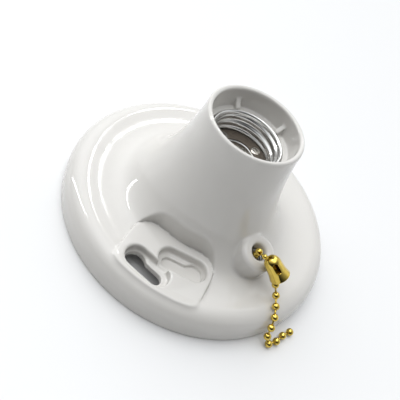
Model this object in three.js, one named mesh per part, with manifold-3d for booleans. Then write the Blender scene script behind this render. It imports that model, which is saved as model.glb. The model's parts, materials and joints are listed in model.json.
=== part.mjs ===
// Surface-mounted pull-chain lampholder for a heat lamp or a poultry-house bulb.
// Millimetres, +Z up along the lamp axis, origin at the centre of the rim's bearing plane.
// The lampholder stands on its rim (z = 0); on a ceiling box that plane is the top.
import * as THREE from "three";
import { mergeVertices } from "three/addons/utils/BufferGeometryUtils.js";
import Module from "manifold-3d";

const wasm = await Module();
wasm.setup();

// ---------- driving dimensions ----------
const GAP = 0.3; // running and assembly clearance between separate pieces
const ROUND_STEPS = 40; // segments round the large turned surfaces

const BASE_R = 57.5; // outside radius of the dish
const RIM_H = 5.0; // straight height of the rim
const SHOULDER_R = 6.8; // round between rim and top of the dish
const CREST_Z = RIM_H + SHOULDER_R;
const WALL = 3.2; // moulded wall

const MOUTH_Z = 57; // top of the lamp collar
const MOUTH_R = 17.4; // collar bore
const COLLAR_R = 19.5; // outside of the collar at the mouth
const LIP_R = (COLLAR_R - MOUTH_R) / 2; // round of the collar's lip
const LEDGE_Z = 48.2; // ledge that carries the shell's rolled edge
const POCKET_R = 14.7; // bore that holds the screw shell
const PARTITION_TOP = 36.6;
const PARTITION_Z = 33; // underside of the partition below the socket
const CHAMBER_R = 18.2; // chamber under the partition

const SHELL_TOP = 48.9;
const SHELL_BASE = 38.2;
const THREAD_R = 13.35; // mean radius of the rolled Edison thread
const THREAD_DEPTH = 0.55;
const THREAD_PITCH = 3.63;
const SHEET = 0.45; // rolled sheet of the shell and contacts

const PAD_Z = 12; // flat top of each screw pad
const PAD_HALF = 17.7;
const PAD_OUTER_R = 53.4;
const RECESS_Z = 8.5; // seat for the screw heads
const WEB_Z = 5.8; // underside of the slotted web
const RECESS_R = 4.7;
const HEAD_HOLE_R = 4.1;
const SLOT_R = 2.45;
// each keyhole: entry for the screw head, then the narrow end; outer pair cut through
const KEYHOLES = [
  { entry: [-9.8, -44.3], narrow: [-0.3, -46.2], open: true },
  { entry: [10.7, -35.5], narrow: [0.7, -37.0], open: false },
];
const KNOCKOUT_Z = 7.0; // floor of the closed keyhole
const PAD_BACK_HALF = 20.3; // half width and inner edge of the wall left behind a pad
const PAD_BACK_EDGE = -24.6;
const RIB_ANGLES = [57, 129, 201, 273, 345]; // ribs inside the collar, degrees
const RIB_HALF = 0.8;

const CHAIN_AZ = THREE.MathUtils.degToRad(-34.5); // direction of the chain outlet from the axis
const CHAIN_R = 33.0; // distance of the chain's run from the axis
const NOZZLE_U = 33.6; // centre of the outlet's lip, leaning outwards
const NOZZLE_Z = 21.8;
const NOZZLE_R = 7.6;
const NOZZLE_TILT = THREE.MathUtils.degToRad(15);
const NOZZLE_BORE = 3.0;
const SPRING_BORE = 4.6;
const SPRING_LEDGE = 18.4;

const AXLE_Z = 9.4;
const LEVER_ARM = 8;
const LEVER_REST = THREE.MathUtils.degToRad(-22.5);
const AXLE_U = CHAIN_R - LEVER_ARM * (1 + Math.cos(LEVER_REST)) / 2;
const FORK_Z = AXLE_Z + LEVER_ARM * Math.sin(LEVER_REST);
const AXLE_R = 1.0;
const AXLE_HOLE = AXLE_R + GAP;
const CHEEK_IN = 5.8;
const CHEEK_OUT = 6.6;
const RATCHET_R = 4.2;

const TERMINAL_U = 33; // distance of the terminal screws from the axis
const TERMINAL_V = 5; // half spacing of one pair
const TERMINAL_AZ = THREE.MathUtils.degToRad(20); // direction of the line terminals
const TERMINAL_HOLE = 1.9;
const FLOOR_RIVETS = [[0, 9.8], [-9.8, 0], [0, -9.8]]; // the first also holds the centre contact
const RIVET_HOLE = 1.5;
const FRAME_SCREWS = [6, 12]; // distances of the switch frame's screws from the axis
const COVER_SCREW_U = 25.5;
const COVER_SCREW_V = 8.8;

const BEAD_R = 1.5;
const LINK_R = 0.45;

// ---------- materials ----------
const finish = (color, roughness, metalness) =>
  new THREE.MeshStandardMaterial({ color, roughness, metalness });
const WHITE = finish(0xe8e8e4, 0.25, 0);
const ALUMINIUM = finish(0xc4c4c0, 0.35, 0.9);
const FIBRE = finish(0x6f665c, 0.7, 0);
const BRASS = finish(0xc8a84a, 0.3, 0.9);
const STEEL = finish(0xa8a9aa, 0.4, 0.9);
const NICKEL = finish(0xb8b6ae, 0.3, 0.9);
const PHENOLIC = finish(0x2b2622, 0.45, 0);
const SLEEVE = finish(0x1d1d1f, 0.5, 0);

// ---------- solid helpers ----------
function solid(geometry) {
  const bare = geometry.index ? geometry.toNonIndexed() : geometry.clone();
  bare.deleteAttribute("normal");
  bare.deleteAttribute("uv");
  const merged = mergeVertices(bare, 1e-4);
  const index = merged.index.array;
  const triVerts = [];
  for (let i = 0; i < index.length; i += 3) {
    const [a, b, c] = [index[i], index[i + 1], index[i + 2]];
    if (a !== b && b !== c && c !== a) triVerts.push(a, b, c);
  }
  const vertProperties = new Float32Array(merged.attributes.position.array);
  if (signedVolume(vertProperties, triVerts) < 0) triVerts.reverse();
  return new wasm.Manifold(new wasm.Mesh({
    numProp: 3,
    vertProperties,
    triVerts: new Uint32Array(triVerts),
  }));
}

function signedVolume(xyz, tris) {
  const at = (i) => new THREE.Vector3().fromArray(xyz, 3 * tris[i]);
  let sum = 0;
  for (let i = 0; i < tris.length; i += 3) sum += at(i).dot(at(i + 1).cross(at(i + 2)));
  return sum;
}

function geometryOf(manifold) {
  const mesh = manifold.getMesh();
  const geometry = new THREE.BufferGeometry();
  geometry.setAttribute("position", new THREE.BufferAttribute(mesh.vertProperties, 3));
  geometry.setIndex(new THREE.BufferAttribute(mesh.triVerts, 1));
  geometry.computeVertexNormals();
  return geometry;
}

const union = (...parts) => parts.reduce((sum, part) => sum.add(part));
const cut = (from, ...tools) => tools.reduce((rest, tool) => rest.subtract(tool), from);

function turned(profile, steps = ROUND_STEPS) {
  const points = profile.map(([r, z]) => new THREE.Vector2(r, z));
  return new THREE.LatheGeometry(points, steps).rotateX(Math.PI / 2);
}

function cylinder(r, z0, z1, x = 0, y = 0, steps = 20) {
  return turned([[0, z0], [r, z0], [r, z1], [0, z1]], steps).translate(x, y, 0);
}

function block(x0, x1, y0, y1, z0, z1) {
  return new THREE.BoxGeometry(x1 - x0, y1 - y0, z1 - z0)
    .translate((x0 + x1) / 2, (y0 + y1) / 2, (z0 + z1) / 2);
}

function slab(shape, z0, z1, curveSegments = 6) {
  const options = { depth: z1 - z0, bevelEnabled: false, curveSegments };
  return new THREE.ExtrudeGeometry(shape, options).translate(0, 0, z0);
}

// a plate drawn in the u-z plane and given its thickness along v
function plate(points, v0, v1) {
  const shape = new THREE.Shape(points.map(([u, z]) => new THREE.Vector2(u, -z)));
  return slab(shape, v0, v1).rotateX(-Math.PI / 2);
}

// a pin whose profile (radius, position along v) is turned about a line parallel to v
function crossPin(profile, u, z, steps = 16) {
  return turned(profile, steps).rotateX(-Math.PI / 2).translate(u, 0, z);
}

function stadium([x0, y0], [x1, y1], r) {
  const heading = Math.atan2(y1 - y0, x1 - x0);
  const shape = new THREE.Shape();
  shape.absarc(x1, y1, r, heading - Math.PI / 2, heading + Math.PI / 2);
  shape.absarc(x0, y0, r, heading + Math.PI / 2, heading + 3 * Math.PI / 2);
  return shape;
}

// a bent strip of constant thickness: centre line in a plane, offset to both sides
function strip(centre, thickness) {
  const side = (sign) => centre.map(([x, y], i) => {
    const [ax, ay] = centre[Math.max(i - 1, 0)];
    const [bx, by] = centre[Math.min(i + 1, centre.length - 1)];
    const length = Math.hypot(bx - ax, by - ay);
    const half = sign * thickness / 2;
    return [x - half * (by - ay) / length, y + half * (bx - ax) / length];
  });
  return [...side(1), ...side(-1).reverse()];
}

function tube(points, r, sides, steps, smooth = true) {
  const vectors = points.map((p) => new THREE.Vector3(...p));
  const path = new THREE.CatmullRomCurve3(vectors, false, smooth ? "centripetal" : "catmullrom");
  const ring = Array.from({ length: sides }, (_, i) => {
    const a = 2 * Math.PI * i / sides;
    return new THREE.Vector2(r * Math.cos(a), r * Math.sin(a));
  });
  return new THREE.ExtrudeGeometry(new THREE.Shape(ring), { steps, extrudePath: path });
}

function ball(r, x, y, z, steps = 8) {
  return new THREE.SphereGeometry(r, steps, steps / 2).translate(x, y, z);
}

function arc(cx, cz, r, from, to, steps) {
  return Array.from({ length: steps + 1 }, (_, i) => {
    const a = THREE.MathUtils.degToRad(from + (to - from) * i / steps);
    return [cx + r * Math.cos(a), cz + r * Math.sin(a)];
  });
}

// ---------- scene ----------
const lampholder = new THREE.Group();
const switchGroup = new THREE.Group(); // local x runs from the axis to the chain outlet
switchGroup.rotation.z = CHAIN_AZ;
const lineGroup = new THREE.Group(); // local x runs from the axis to the line terminals
lineGroup.rotation.z = TERMINAL_AZ;
lampholder.add(switchGroup, lineGroup);

function piece(name, shape, material, parent = lampholder) {
  const mesh = new THREE.Mesh(geometryOf(shape), material);
  mesh.name = name;
  parent.add(mesh);
}

// ---------- moulded body ----------
const FLARE = [
  [47, 11.3], [43, 10.9], [39.5, 11.0], [36.5, 11.6], [33.6, 13.4], [31, 16.2], [28.4, 19.7],
  [26, 24.7], [23.8, 30.8], [22, 37.2], [20.7, 44.6], [COLLAR_R, 55.4],
];

function outerProfile() {
  return [
    [0, 0], [BASE_R, 0],
    ...arc(BASE_R - SHOULDER_R, RIM_H, SHOULDER_R, 0, 90, 4),
    ...FLARE,
    ...arc(COLLAR_R - LIP_R, MOUTH_Z - LIP_R, LIP_R, 20, 90, 2),
    [0, MOUTH_Z],
  ];
}

function socketProfile() {
  const centre = MOUTH_R + LIP_R;
  return [
    [0, PARTITION_TOP], [POCKET_R, PARTITION_TOP], [POCKET_R, LEDGE_Z], [MOUTH_R - 0.3, LEDGE_Z],
    ...arc(centre, MOUTH_Z - LIP_R, LIP_R, 180, 90, 2),
    [centre, MOUTH_Z + 2], [0, MOUTH_Z + 2],
  ];
}

function cavityProfile() {
  const r = BASE_R - WALL;
  const round = SHOULDER_R - WALL;
  return [
    [0, -2], [r, -2],
    ...arc(r - round, RIM_H, round, 0, 90, 2),
    [42, 7.7], [37, 7.9], [33.4, 9.7], [29.2, 13.9], [25.4, 18.7], [22, 25],
    [CHAMBER_R, PARTITION_Z], [0, PARTITION_Z],
  ];
}

// outline of the pocket cut into the flare above a pad: two lobes with a bulge between
function pocketShape() {
  const half = [[17.7, -33], [17, -30.6], [14.8, -28.3], [11, -26.8], [6.5, -27.4]];
  const curve = [...half, [0, -28.4], ...half.map(([x, y]) => [-x, y]).reverse()];
  const shape = new THREE.Shape();
  shape.moveTo(PAD_HALF, -60);
  shape.lineTo(...curve[0]);
  shape.splineThru(curve.slice(1).map(([x, y]) => new THREE.Vector2(x, y)));
  shape.lineTo(-PAD_HALF, -60);
  return shape;
}

// every feature of one pad, drawn on the -Y side
function padFeatures() {
  const raised = solid(block(-PAD_HALF, PAD_HALF, -58, -28, 6, PAD_Z))
    .intersect(solid(cylinder(PAD_OUTER_R, 5, PAD_Z + 1, 0, 0, ROUND_STEPS)));
  const backing = union(
    solid(block(-PAD_BACK_HALF, PAD_BACK_HALF, -BASE_R, PAD_BACK_EDGE, CREST_Z - WALL - 0.2,
      PARTITION_Z)),
    ...KEYHOLES.map(({ entry, narrow }) => solid(slab(stadium(entry, narrow, 6.9), WEB_Z, 10))),
  );
  const pocket = solid(slab(pocketShape(), PAD_Z, 40, 2));
  const cuts = KEYHOLES.map(({ entry, narrow, open }) => {
    const floor = open ? WEB_Z - 2 : KNOCKOUT_Z;
    return union(
      solid(slab(stadium(entry, narrow, RECESS_R), RECESS_Z, PAD_Z + 2)),
      solid(slab(stadium(entry, narrow, SLOT_R), floor, RECESS_Z + 0.5)),
      solid(cylinder(HEAD_HOLE_R, floor, RECESS_Z + 0.5, ...entry, 16)),
    );
  });
  return { raised, backing, cuts: union(pocket, ...cuts) };
}

const halfTurn = (shape) => solid(geometryOf(shape).rotateZ(Math.PI));

// boxes and holes of the body that are drawn in the switch's or the line terminals' frame
function terminalBlock() {
  return block(TERMINAL_U - 5, TERMINAL_U + 5, -9.5, 9.5, 6.9, 25);
}

function terminalHoles() {
  return [-TERMINAL_V, TERMINAL_V].map((v) => cylinder(TERMINAL_HOLE, 5, 11.3, TERMINAL_U, v, 10));
}

function bodyShell() {
  const pad = padFeatures();
  const opposite = {
    raised: halfTurn(pad.raised), backing: halfTurn(pad.backing), cuts: halfTurn(pad.cuts),
  };
  const inSwitch = (geometry) => solid(geometry.rotateZ(CHAIN_AZ));
  const inLine = (geometry) => solid(geometry.rotateZ(TERMINAL_AZ));
  const leaning = (geometry) => geometry.rotateY(NOZZLE_TILT).translate(NOZZLE_U, 0, NOZZLE_Z);
  const boss = solid(leaning(turned([
    [0, -13.5], [NOZZLE_R + 1.1, -13.5], [NOZZLE_R + 0.6, -8],
    ...arc(NOZZLE_R - 1.6, -1.6, 1.6, 0, 90, 3), [0, 0],
  ], 24)));
  const ribs = RIB_ANGLES.map((degrees) => {
    const wedge = plate([[14.4, 40], [17.9, 40], [17.9, 53], [17.0, 53], [14.4, 49.2]],
      -RIB_HALF, RIB_HALF);
    return solid(wedge.rotateZ(THREE.MathUtils.degToRad(degrees)));
  });

  const outside = union(solid(turned(outerProfile())), pad.raised, opposite.raised,
    solid(geometryOf(boss).rotateZ(CHAIN_AZ)));
  const hollow = cut(solid(turned(cavityProfile())), pad.backing, opposite.backing,
    inSwitch(block(3, 15, -6.5, 6.5, 20.7, 40)), // post for the switch frame
    inSwitch(terminalBlock().rotateZ(Math.PI)),
    inLine(terminalBlock()));
  const bores = [
    cylinder(NOZZLE_BORE, SPRING_LEDGE - 1, 23, CHAIN_R, 0, 16),
    leaning(turned([[0, -2.6], [3.0, -2.6], [3.2, -1.4], [3.8, -0.5], [4.8, 0.1], [0, 0.1]], 16)),
    cylinder(SPRING_BORE, 3, SPRING_LEDGE, CHAIN_R, 0, 20),
    ...FRAME_SCREWS.map((u) => cylinder(1.1, 20, 28, u, 0, 8)),
    ...FLOOR_RIVETS.map(([u, v]) => cylinder(RIVET_HOLE, 32, 38, u, v, 10)),
    ...terminalHoles().map((hole) => hole.rotateZ(Math.PI)),
  ].map(inSwitch);
  const socket = cut(solid(turned(socketProfile())), ...ribs);
  return cut(outside, hollow, socket, pad.cuts, opposite.cuts, ...bores,
    ...terminalHoles().map(inLine));
}

piece("body_shell", bodyShell(), WHITE);

// ---------- screw shell and socket floor ----------
function shellProfile() {
  const steps = 14;
  const wave = (z) => THREAD_R + THREAD_DEPTH * Math.cos(2 * Math.PI * (z - 47.2) / THREAD_PITCH);
  const heights = Array.from({ length: steps + 1 }, (_, i) => SHELL_BASE + 0.9 + i * 0.63);
  const inside = heights.map((z) => [wave(z) - SHEET / 2, z]);
  const outside = heights.map((z) => [wave(z) + SHEET / 2, z]).reverse();
  return [
    [7.6, SHELL_BASE + SHEET], [12.2, SHELL_BASE + SHEET], ...inside,
    [13.8, SHELL_TOP - 0.3], [14.1, SHELL_TOP], [14.4, SHELL_TOP - 0.3], [14.35, SHELL_TOP - 0.5],
    ...outside, [12.7, SHELL_BASE], [7.6, SHELL_BASE], [7.6, SHELL_BASE + SHEET],
  ];
}

const contactNotch = solid(block(-4.2, 4.2, 5, 12.2, SHELL_BASE - 1, SHELL_BASE + 0.7));
const rivetHole = ([u, v], z0, z1) => solid(cylinder(RIVET_HOLE, z0, z1, u, v, 10));
piece("screw_shell", cut(
  solid(turned(shellProfile(), 28)),
  contactNotch, ...FLOOR_RIVETS.slice(1).map((at) => rivetHole(at, 37, 39)),
), ALUMINIUM, switchGroup);

piece("shell_floor", cut(
  solid(cylinder(14.3, 36.8, 38, 0, 0, 32)),
  ...FLOOR_RIVETS.map((at) => rivetHole(at, 36, 39)),
), FIBRE, switchGroup);

function rivet([u, v], under, top) {
  const profile = [
    [0, under - 0.8], [1.7, under - 0.8], [2, under - 0.4], [2, under], [1.2, under],
    [1.2, top], [2.1, top], [2.1, top + 0.3], [1.4, top + 0.6], [0, top + 0.6],
  ];
  return solid(turned(profile, 12).translate(u, v, 0));
}

piece("contact_rivet", rivet(FLOOR_RIVETS[0], 32.7, 39.0), NICKEL, switchGroup);
piece("shell_rivet_1", rivet(FLOOR_RIVETS[1], 31.6, 38.9), ALUMINIUM, switchGroup);
piece("shell_rivet_2", rivet(FLOOR_RIVETS[2], 32.7, 38.9), ALUMINIUM, switchGroup);

const TONGUE_HALF = 2.5;
piece("contact_base", cut(
  solid(block(-TONGUE_HALF, TONGUE_HALF, 7.7, 11.6, SHELL_BASE + 0.1, SHELL_BASE + 0.5)),
  rivetHole(FLOOR_RIVETS[0], 37, 40),
), NICKEL, switchGroup);

// sprung tongue, drawn in the v-z plane and as wide as its base along u
const tongueLine = [[7.3, 38.5], [5, 39.1], [2, 40.6], [0, 41.5], [-2, 41.8], [-4, 41.3]];
const tongue = plate(strip(tongueLine, 0.4), -TONGUE_HALF, TONGUE_HALF).rotateZ(Math.PI / 2);
piece("centre_contact", solid(tongue), NICKEL, switchGroup);

// ---------- terminals ----------
function terminalScrew(v) {
  const profile = [
    [0, 2.9], [3.1, 2.9], [3.5, 3.4], [3.5, 5.6], [1.6, 5.6], [1.6, 10.6], [1.1, 11], [0, 11],
  ];
  const slot = block(TERMINAL_U - 4, TERMINAL_U + 4, v - 0.55, v + 0.55, 2, 4.2);
  return cut(solid(turned(profile, 14).translate(TERMINAL_U, v, 0)), solid(slot));
}

function terminalPlate(tail) {
  const face = solid(block(TERMINAL_U - 5, TERMINAL_U + 5, -9.4, 9.4, 5.9, 6.6));
  const holes = [-TERMINAL_V, TERMINAL_V].map((v) =>
    solid(cylinder(TERMINAL_HOLE, 5, 8, TERMINAL_U, v, 12)));
  return cut(union(face, tail), ...holes);
}

piece("hot_plate", terminalPlate(solid(block(23, 29, -3, 3, 5.9, 6.6))), BRASS, lineGroup);
[-TERMINAL_V, TERMINAL_V].forEach((v, i) =>
  piece(`hot_screw_${i + 1}`, terminalScrew(v), BRASS, lineGroup));

const neutralGroup = new THREE.Group(); // opposite the chain outlet
neutralGroup.rotation.z = Math.PI;
switchGroup.add(neutralGroup);
const strapLine = [
  [8.6, 32.2], [14, 32.2], [15.6, 30.8], [17.2, 26], [20.5, 19.5], [25, 11.5], [27, 6.9], [29, 6.3],
];
const strap = cut(
  solid(plate(strip(strapLine, 0.6), -3.5, 3.5)),
  solid(cylinder(RIVET_HOLE, 31, 34, 9.8, 0, 12)),
);
piece("neutral_plate", terminalPlate(strap), NICKEL, neutralGroup);
[-TERMINAL_V, TERMINAL_V].forEach((v, i) =>
  piece(`neutral_screw_${i + 1}`, terminalScrew(v), NICKEL, neutralGroup));

// ---------- pull switch ----------
function switchFrame() {
  const side = [[16.6, 2.4], [29.6, 2.4], [29.6, 9.2], [27.2, 12.4], [24, 15], [16.6, 15]];
  const cheeks = [[-CHEEK_OUT, -CHEEK_IN], [CHEEK_IN, CHEEK_OUT]].map(([v0, v1]) =>
    solid(plate(side, v0, v1)));
  const wall = solid(block(16.6, 17.4, -CHEEK_OUT, CHEEK_OUT, 2.4, 20.4));
  const flange = solid(block(3.5, 17.4, -CHEEK_OUT, CHEEK_OUT, 19.6, 20.4));
  const tabs = [-1, 1].map((sign) => {
    const [v0, v1] = sign < 0 ? [-11, -CHEEK_IN] : [CHEEK_IN, 11];
    return solid(block(22.6, 28.4, v0, v1, 2.4, 3.2));
  });
  const holes = [
    crossPin([[0, -9], [AXLE_HOLE, -9], [AXLE_HOLE, 9], [0, 9]], AXLE_U, AXLE_Z),
    block(16, 18, 2.1, 5.5, 4.2, 14.8),
    crossPin([[0, -1], [1.3, -1], [1.3, 1], [0, 1]], 0, 0, 12).rotateZ(Math.PI / 2)
      .translate(17, -2, 10),
    ...FRAME_SCREWS.map((u) => cylinder(1.4, 19, 21, u, 0, 12)),
    ...[-COVER_SCREW_V, COVER_SCREW_V].map((v) => cylinder(1.1, 2, 4, COVER_SCREW_U, v, 12)),
  ].map(solid);
  return cut(union(...cheeks, wall, flange, ...tabs), ...holes);
}

piece("switch_frame", switchFrame(), STEEL, switchGroup);

function smallScrew(u, v, seat, length, headR = 2.0, headH = 1.0) {
  const shank = headR * 0.42;
  const profile = [
    [0, seat - headH], [headR * 0.8, seat - headH], [headR, seat - headH / 2], [headR, seat],
    [shank, seat], [shank, seat + length], [0, seat + length],
  ];
  const slot = block(u - headR, u + headR, v - 0.3, v + 0.3, seat - headH - 0.1, seat - headH / 2);
  return cut(solid(turned(profile, 12).translate(u, v, 0)), solid(slot));
}

FRAME_SCREWS.forEach((u, i) =>
  piece(`frame_screw_${i + 1}`, smallScrew(u, 0, 19.3, 7.4), STEEL, switchGroup));

piece("contact_block", cut(
  solid(block(9.6, 16.3, -5, 5.4, 3.4, 15.6)),
  solid(block(9, 17, 2.2, 6, 4.4, 5.6)),
  solid(block(9, 17, 2.2, 6, 13.3, 14.5)),
  solid(crossPin([[0, -8], [1.3, -8], [1.3, 8], [0, 8]], 0, 0, 12).rotateZ(Math.PI / 2)
    .translate(13, -2, 10)),
), PHENOLIC, switchGroup);

const blockRivet = [
  [0, -9.2], [1.8, -9.2], [2, -8.8], [2, -8.4], [1, -8.4], [1, -0.3], [2, -0.3], [1.8, 0.3], [0, 0.3],
];
piece("block_rivet", solid(turned(blockRivet, 14).rotateY(Math.PI / 2).translate(18, -2, 10)),
  STEEL, switchGroup);

const BLADE_RISE = 4.4; // contact blades above and below the axle
const lineBlade = [[7, 0.1], [20, 0.1], [23.5, -0.1], [25.5, 0.3]].map(([u, z]) =>
  [u, AXLE_Z + BLADE_RISE + z]);
const loadBlade = [[7, 0], [20, 0], [25, 0.1], [27.5, -0.2]].map(([u, z]) =>
  [u, AXLE_Z - BLADE_RISE + z]);
piece("line_blade", solid(plate(strip(lineBlade, 0.4), 2.6, 5.0)), BRASS, switchGroup);
piece("load_blade", solid(plate(strip(loadBlade, 0.4), 2.6, 5.0)), BRASS, switchGroup);

// ratchet wheel with its cam drum: eight teeth, four cam lobes
function rotor() {
  const teeth = 8;
  const ratchet = Array.from({ length: teeth * 2 }, (_, i) => {
    const a = Math.PI * (i + (i % 2 ? 0.55 : 0)) / teeth;
    const r = i % 2 ? RATCHET_R - 0.9 : RATCHET_R;
    return [AXLE_U + r * Math.cos(a), AXLE_Z + r * Math.sin(a)];
  });
  const drum = Array.from({ length: 24 }, (_, i) => {
    const a = 2 * Math.PI * i / 24;
    const r = 3.35 + 0.35 * Math.cos(4 * a);
    return [AXLE_U + r * Math.cos(a), AXLE_Z + r * Math.sin(a)];
  });
  return cut(
    union(solid(plate(ratchet, 1.4, 2.4)), solid(plate(drum, 2.3, 5.4))),
    solid(crossPin([[0, 1], [AXLE_HOLE, 1], [AXLE_HOLE, 6], [0, 6]], AXLE_U, AXLE_Z)),
  );
}

piece("ratchet_rotor", rotor(), PHENOLIC, switchGroup);

const axleProfile = [
  [0, -7.7], [1.5, -7.7], [1.7, -7.4], [1.7, -6.9], [AXLE_R, -6.9], [AXLE_R, 6.9], [2, 6.9],
  [2, 7.4], [1.6, 7.7], [0, 7.7],
];
piece("axle_pin", solid(crossPin(axleProfile, AXLE_U, AXLE_Z)), STEEL, switchGroup);
piece("axle_bush", solid(crossPin(
  [[AXLE_HOLE, -5.5], [2.3, -5.5], [2.3, -1.3], [AXLE_HOLE, -1.3], [AXLE_HOLE, -5.5]],
  AXLE_U, AXLE_Z)), BRASS, switchGroup);

// the lever and its pawl are drawn level and turned to the rest angle about the axle
const leverGroup = new THREE.Group();
leverGroup.position.set(AXLE_U, 0, AXLE_Z);
leverGroup.rotation.y = -LEVER_REST;
switchGroup.add(leverGroup);

const crossBar = (r, half, u, steps) => solid(crossPin([[0, -half], [r, -half], [r, half], [0, half]],
  u, 0, steps));
piece("pull_lever", cut(
  union(crossBar(3.2, 1, 0, 20), solid(block(0, LEVER_ARM, -1, 1, -0.9, 0.2)),
    crossBar(1.7, 2.6, LEVER_ARM, 16)),
  crossBar(AXLE_HOLE, 3, 0, 16),
  solid(block(LEVER_ARM - 1.1, LEVER_ARM + 3, -0.9, 0.9, -3, 3)),
), STEEL, leverGroup);

piece("drive_pawl", union(
  solid(block(4.55, 5.6, 1.25, 1.75, -1, 0.2)),
  solid(block(4.55, 5.0, 1.7, 2.4, -1, 0.2)),
), STEEL, leverGroup);

piece("detent_leaf", solid(plate(
  strip([[17.9, 8.8], [17.9, 5.6], [18.6, 4.8], [22, 4.5], [27, 4.6]], 0.35), 1.3, 2.2)),
STEEL, switchGroup);

// ---------- pull chain ----------
const SEAT_Z = FORK_Z + 2.0;
piece("spring_seat", solid(turned([
  [0.8, SEAT_Z], [3.6, SEAT_Z], [3.6, SEAT_Z + 0.8], [0.8, SEAT_Z + 0.8], [0.8, SEAT_Z],
], 20).translate(CHAIN_R, 0, 0)), STEEL, switchGroup);

const SPRING_R = 2.95; // mean radius of the coil
function springCoil() {
  const wire = 0.35;
  const bottom = SEAT_Z + 0.8 + 0.2 + wire;
  const top = SPRING_LEDGE - 0.2 - wire;
  const turns = 4.5;
  const steps = 45;
  const points = Array.from({ length: steps + 1 }, (_, i) => {
    const t = i / steps;
    const a = 2 * Math.PI * turns * t;
    return [CHAIN_R + SPRING_R * Math.cos(a), SPRING_R * Math.sin(a), bottom + (top - bottom) * t];
  });
  return tube(points, wire, 6, steps);
}

piece("return_spring", solid(springCoil()), STEEL, switchGroup);

// local place of a bead or link outside the outlet, given in the object's own axes
const outward = (x, y, z) => new THREE.Vector3(x, y, z)
  .applyAxisAngle(new THREE.Vector3(0, 0, 1), -CHAIN_AZ).toArray();
const BELL_NARROW = [30.7, -23.4, 26.5];
const BELL_MOUTH = [38.5, -22.9, 20.5];
const LIP_BEAD = outward(27.1, -20.1, 22.4);
const KNUCKLE = outward(29.0, -24.2, 26.3);
const CATCH = outward(32.8, -23.3, 24.9);

function innerChain() {
  const collar = turned([
    [0, FORK_Z - 3], [1.9, FORK_Z - 3], [1.9, FORK_Z - 2], [LINK_R, FORK_Z - 2],
    [LINK_R, 20.4], [0, 20.4],
  ], 14).translate(CHAIN_R, 0, 0);
  const inside = [11.6, 15.0, 18.4].map((z) => ball(BEAD_R, CHAIN_R, 0, z));
  const lead = [[CHAIN_R, 0, 20], LIP_BEAD, KNUCKLE, outward(...BELL_NARROW), CATCH];
  const outside = [ball(BEAD_R, ...LIP_BEAD), ball(1.0, ...KNUCKLE), ball(1.25, ...CATCH)];
  return union(...[collar, ...inside, tube(lead, LINK_R, 8, 10), ...outside].map(solid));
}

piece("inner_chain", innerChain(), BRASS, switchGroup);

function alongAxis(geometry, from, to) {
  const axis = new THREE.Vector3(...to).sub(new THREE.Vector3(...from)).normalize();
  const turn = new THREE.Quaternion().setFromUnitVectors(new THREE.Vector3(0, 0, 1), axis);
  return geometry.applyQuaternion(turn).translate(...from);
}

const bellLength = new THREE.Vector3(...BELL_MOUTH).distanceTo(new THREE.Vector3(...BELL_NARROW));
const bellProfile = [
  [0.9, 0], [1.8, 0], [2.8, 0.5], [3.2, 1.4], [3.35, 4], [3.55, 7], [4.1, bellLength],
  [3.7, bellLength], [3.15, 7], [2.95, 4], [2.8, 1.6], [2.4, 0.8], [0.9, 0.5], [0.9, 0],
];
piece("bell_connector", solid(alongAxis(turned(bellProfile, 16), BELL_NARROW, BELL_MOUTH)), BRASS);

// free end of the chain: out of the bell, over the dish, down the rim and along the surface
const CHAIN_ROUTE = [
  [37.9, -22.2, 20.4], [38.6, -22.7, 18.7], [39.1, -23.8, 16.9], [40.1, -25.0, 15.5],
  [41.4, -26.3, 14.6], [43.2, -29.5, 13.4], [44.9, -32.9, 11.9], [46.1, -35.8, 9.0],
  [47.0, -37.3, 5.4], [48.0, -37.9, 2.9], [49.4, -37.9, 1.7], [51.0, -37.0, 1.5],
  [52.0, -35.3, 1.5], [52.7, -33.0, 1.5], [54.2, -30.2, 1.5], [56.3, -27.5, 1.5],
];
piece("hanging_chain", solid(tube(CHAIN_ROUTE, BEAD_R, 8, 20)), BRASS);

// ---------- insulating cover under the switch ----------
piece("back_cover", cut(
  solid(block(15.5, 38.5, -11.5, 11.5, 1.2, 2.1)),
  ...[-COVER_SCREW_V, COVER_SCREW_V].map((v) =>
    solid(cylinder(1.1, 0, 3, COVER_SCREW_U, v, 12))),
), FIBRE, switchGroup);
[-COVER_SCREW_V, COVER_SCREW_V].forEach((v, i) => piece(`cover_screw_${i + 1}`,
  smallScrew(COVER_SCREW_U, v, 1.1, 3.1, 1.9, 0.8), STEEL, switchGroup));

// ---------- leads between the switch and the terminals ----------
piece("load_lead", solid(tube(
  [[5.6, 3.8, 5.0], [3, 6, 5.8], [0.6, 9.5, 11], [0, 11.2, 18], [0, 10.6, 26], [0, 10, 31.3]],
  0.9, 8, 16)), SLEEVE, switchGroup);
const toLine = (x, y, z) => new THREE.Vector3(x, y, z)
  .applyAxisAngle(new THREE.Vector3(0, 0, 1), TERMINAL_AZ - CHAIN_AZ).toArray();
piece("line_lead", solid(tube(
  [[5.6, 3.8, 13.9], [3.5, 6.5, 13.6], [4.5, 10, 11.5], toLine(15, 0, 8.6), toLine(21.4, 0, 6.6)],
  0.9, 8, 14)), SLEEVE, switchGroup);

export default lampholder;
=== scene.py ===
"""Looks of a surface-mounted pull-chain lampholder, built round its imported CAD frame.

The white moulding is rebuilt from a distance field, so that its edges have the small radii of a
moulded part. Shapes are worked out in the row frame in millimetres, as in the CAD source, and
scaled to metres where they become Blender meshes.
"""

import itertools
import json
import math

import bpy
import numpy as np
from mathutils import Matrix, Vector


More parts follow.
